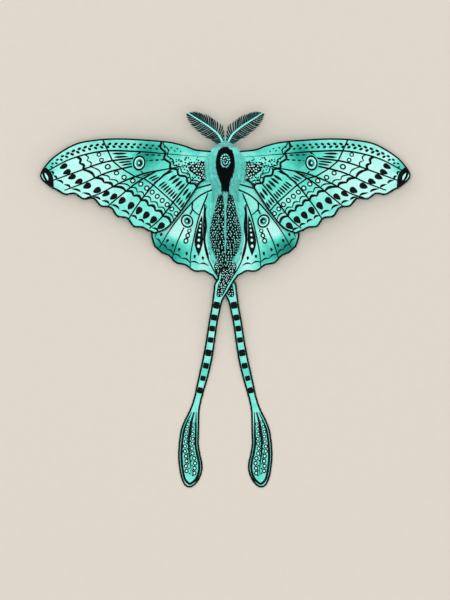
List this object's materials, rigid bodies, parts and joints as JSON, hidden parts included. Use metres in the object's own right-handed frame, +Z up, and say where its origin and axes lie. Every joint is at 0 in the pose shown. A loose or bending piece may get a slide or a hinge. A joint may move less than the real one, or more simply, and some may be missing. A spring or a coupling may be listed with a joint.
{
  "type": "chinese moon moth",
  "caption": "Moon moth at rest on its feet, wings spread flat, with feathery feelers and two long hindwing tails that cross and end in paddles.",
  "frame": {"origin": "on the floor, midway across the wings and midway between the feelers' tips and the tails' ends", "axes": "+Z up from the floor, +Y towards the head, +X towards the moth's own right wing"},
  "size_m": [0.1204, 0.1221, 0.0131],
  "materials": {
    "wing": "mint scales with teal clouds, dark veins and margin",
    "coat": "woolly pale mint coat with a dark mark on the back",
    "feeler": "near-black combs on a mint shaft",
    "eye": "glossy, near black",
    "leg": "dark teal with short hairs"
  },
  "bodies": {
    "root": {"head": "coat", "thorax": "coat", "abdomen": "coat", "eye_left": "eye", "eye_right": "eye", "antenna_left": "feeler", "antenna_right": "feeler", "forewing_left": "wing", "forewing_right": "wing", "hindwing_left": "wing", "hindwing_right": "wing", "tail_left": "wing", "tail_right": "wing", "tail_end_left": "wing", "tail_end_right": "wing", "leg_front_left": "leg", "leg_front_right": "leg", "leg_middle_left": "leg", "leg_middle_right": "leg", "leg_hind_left": "leg", "leg_hind_right": "leg"}
  },
  "joints": []
}
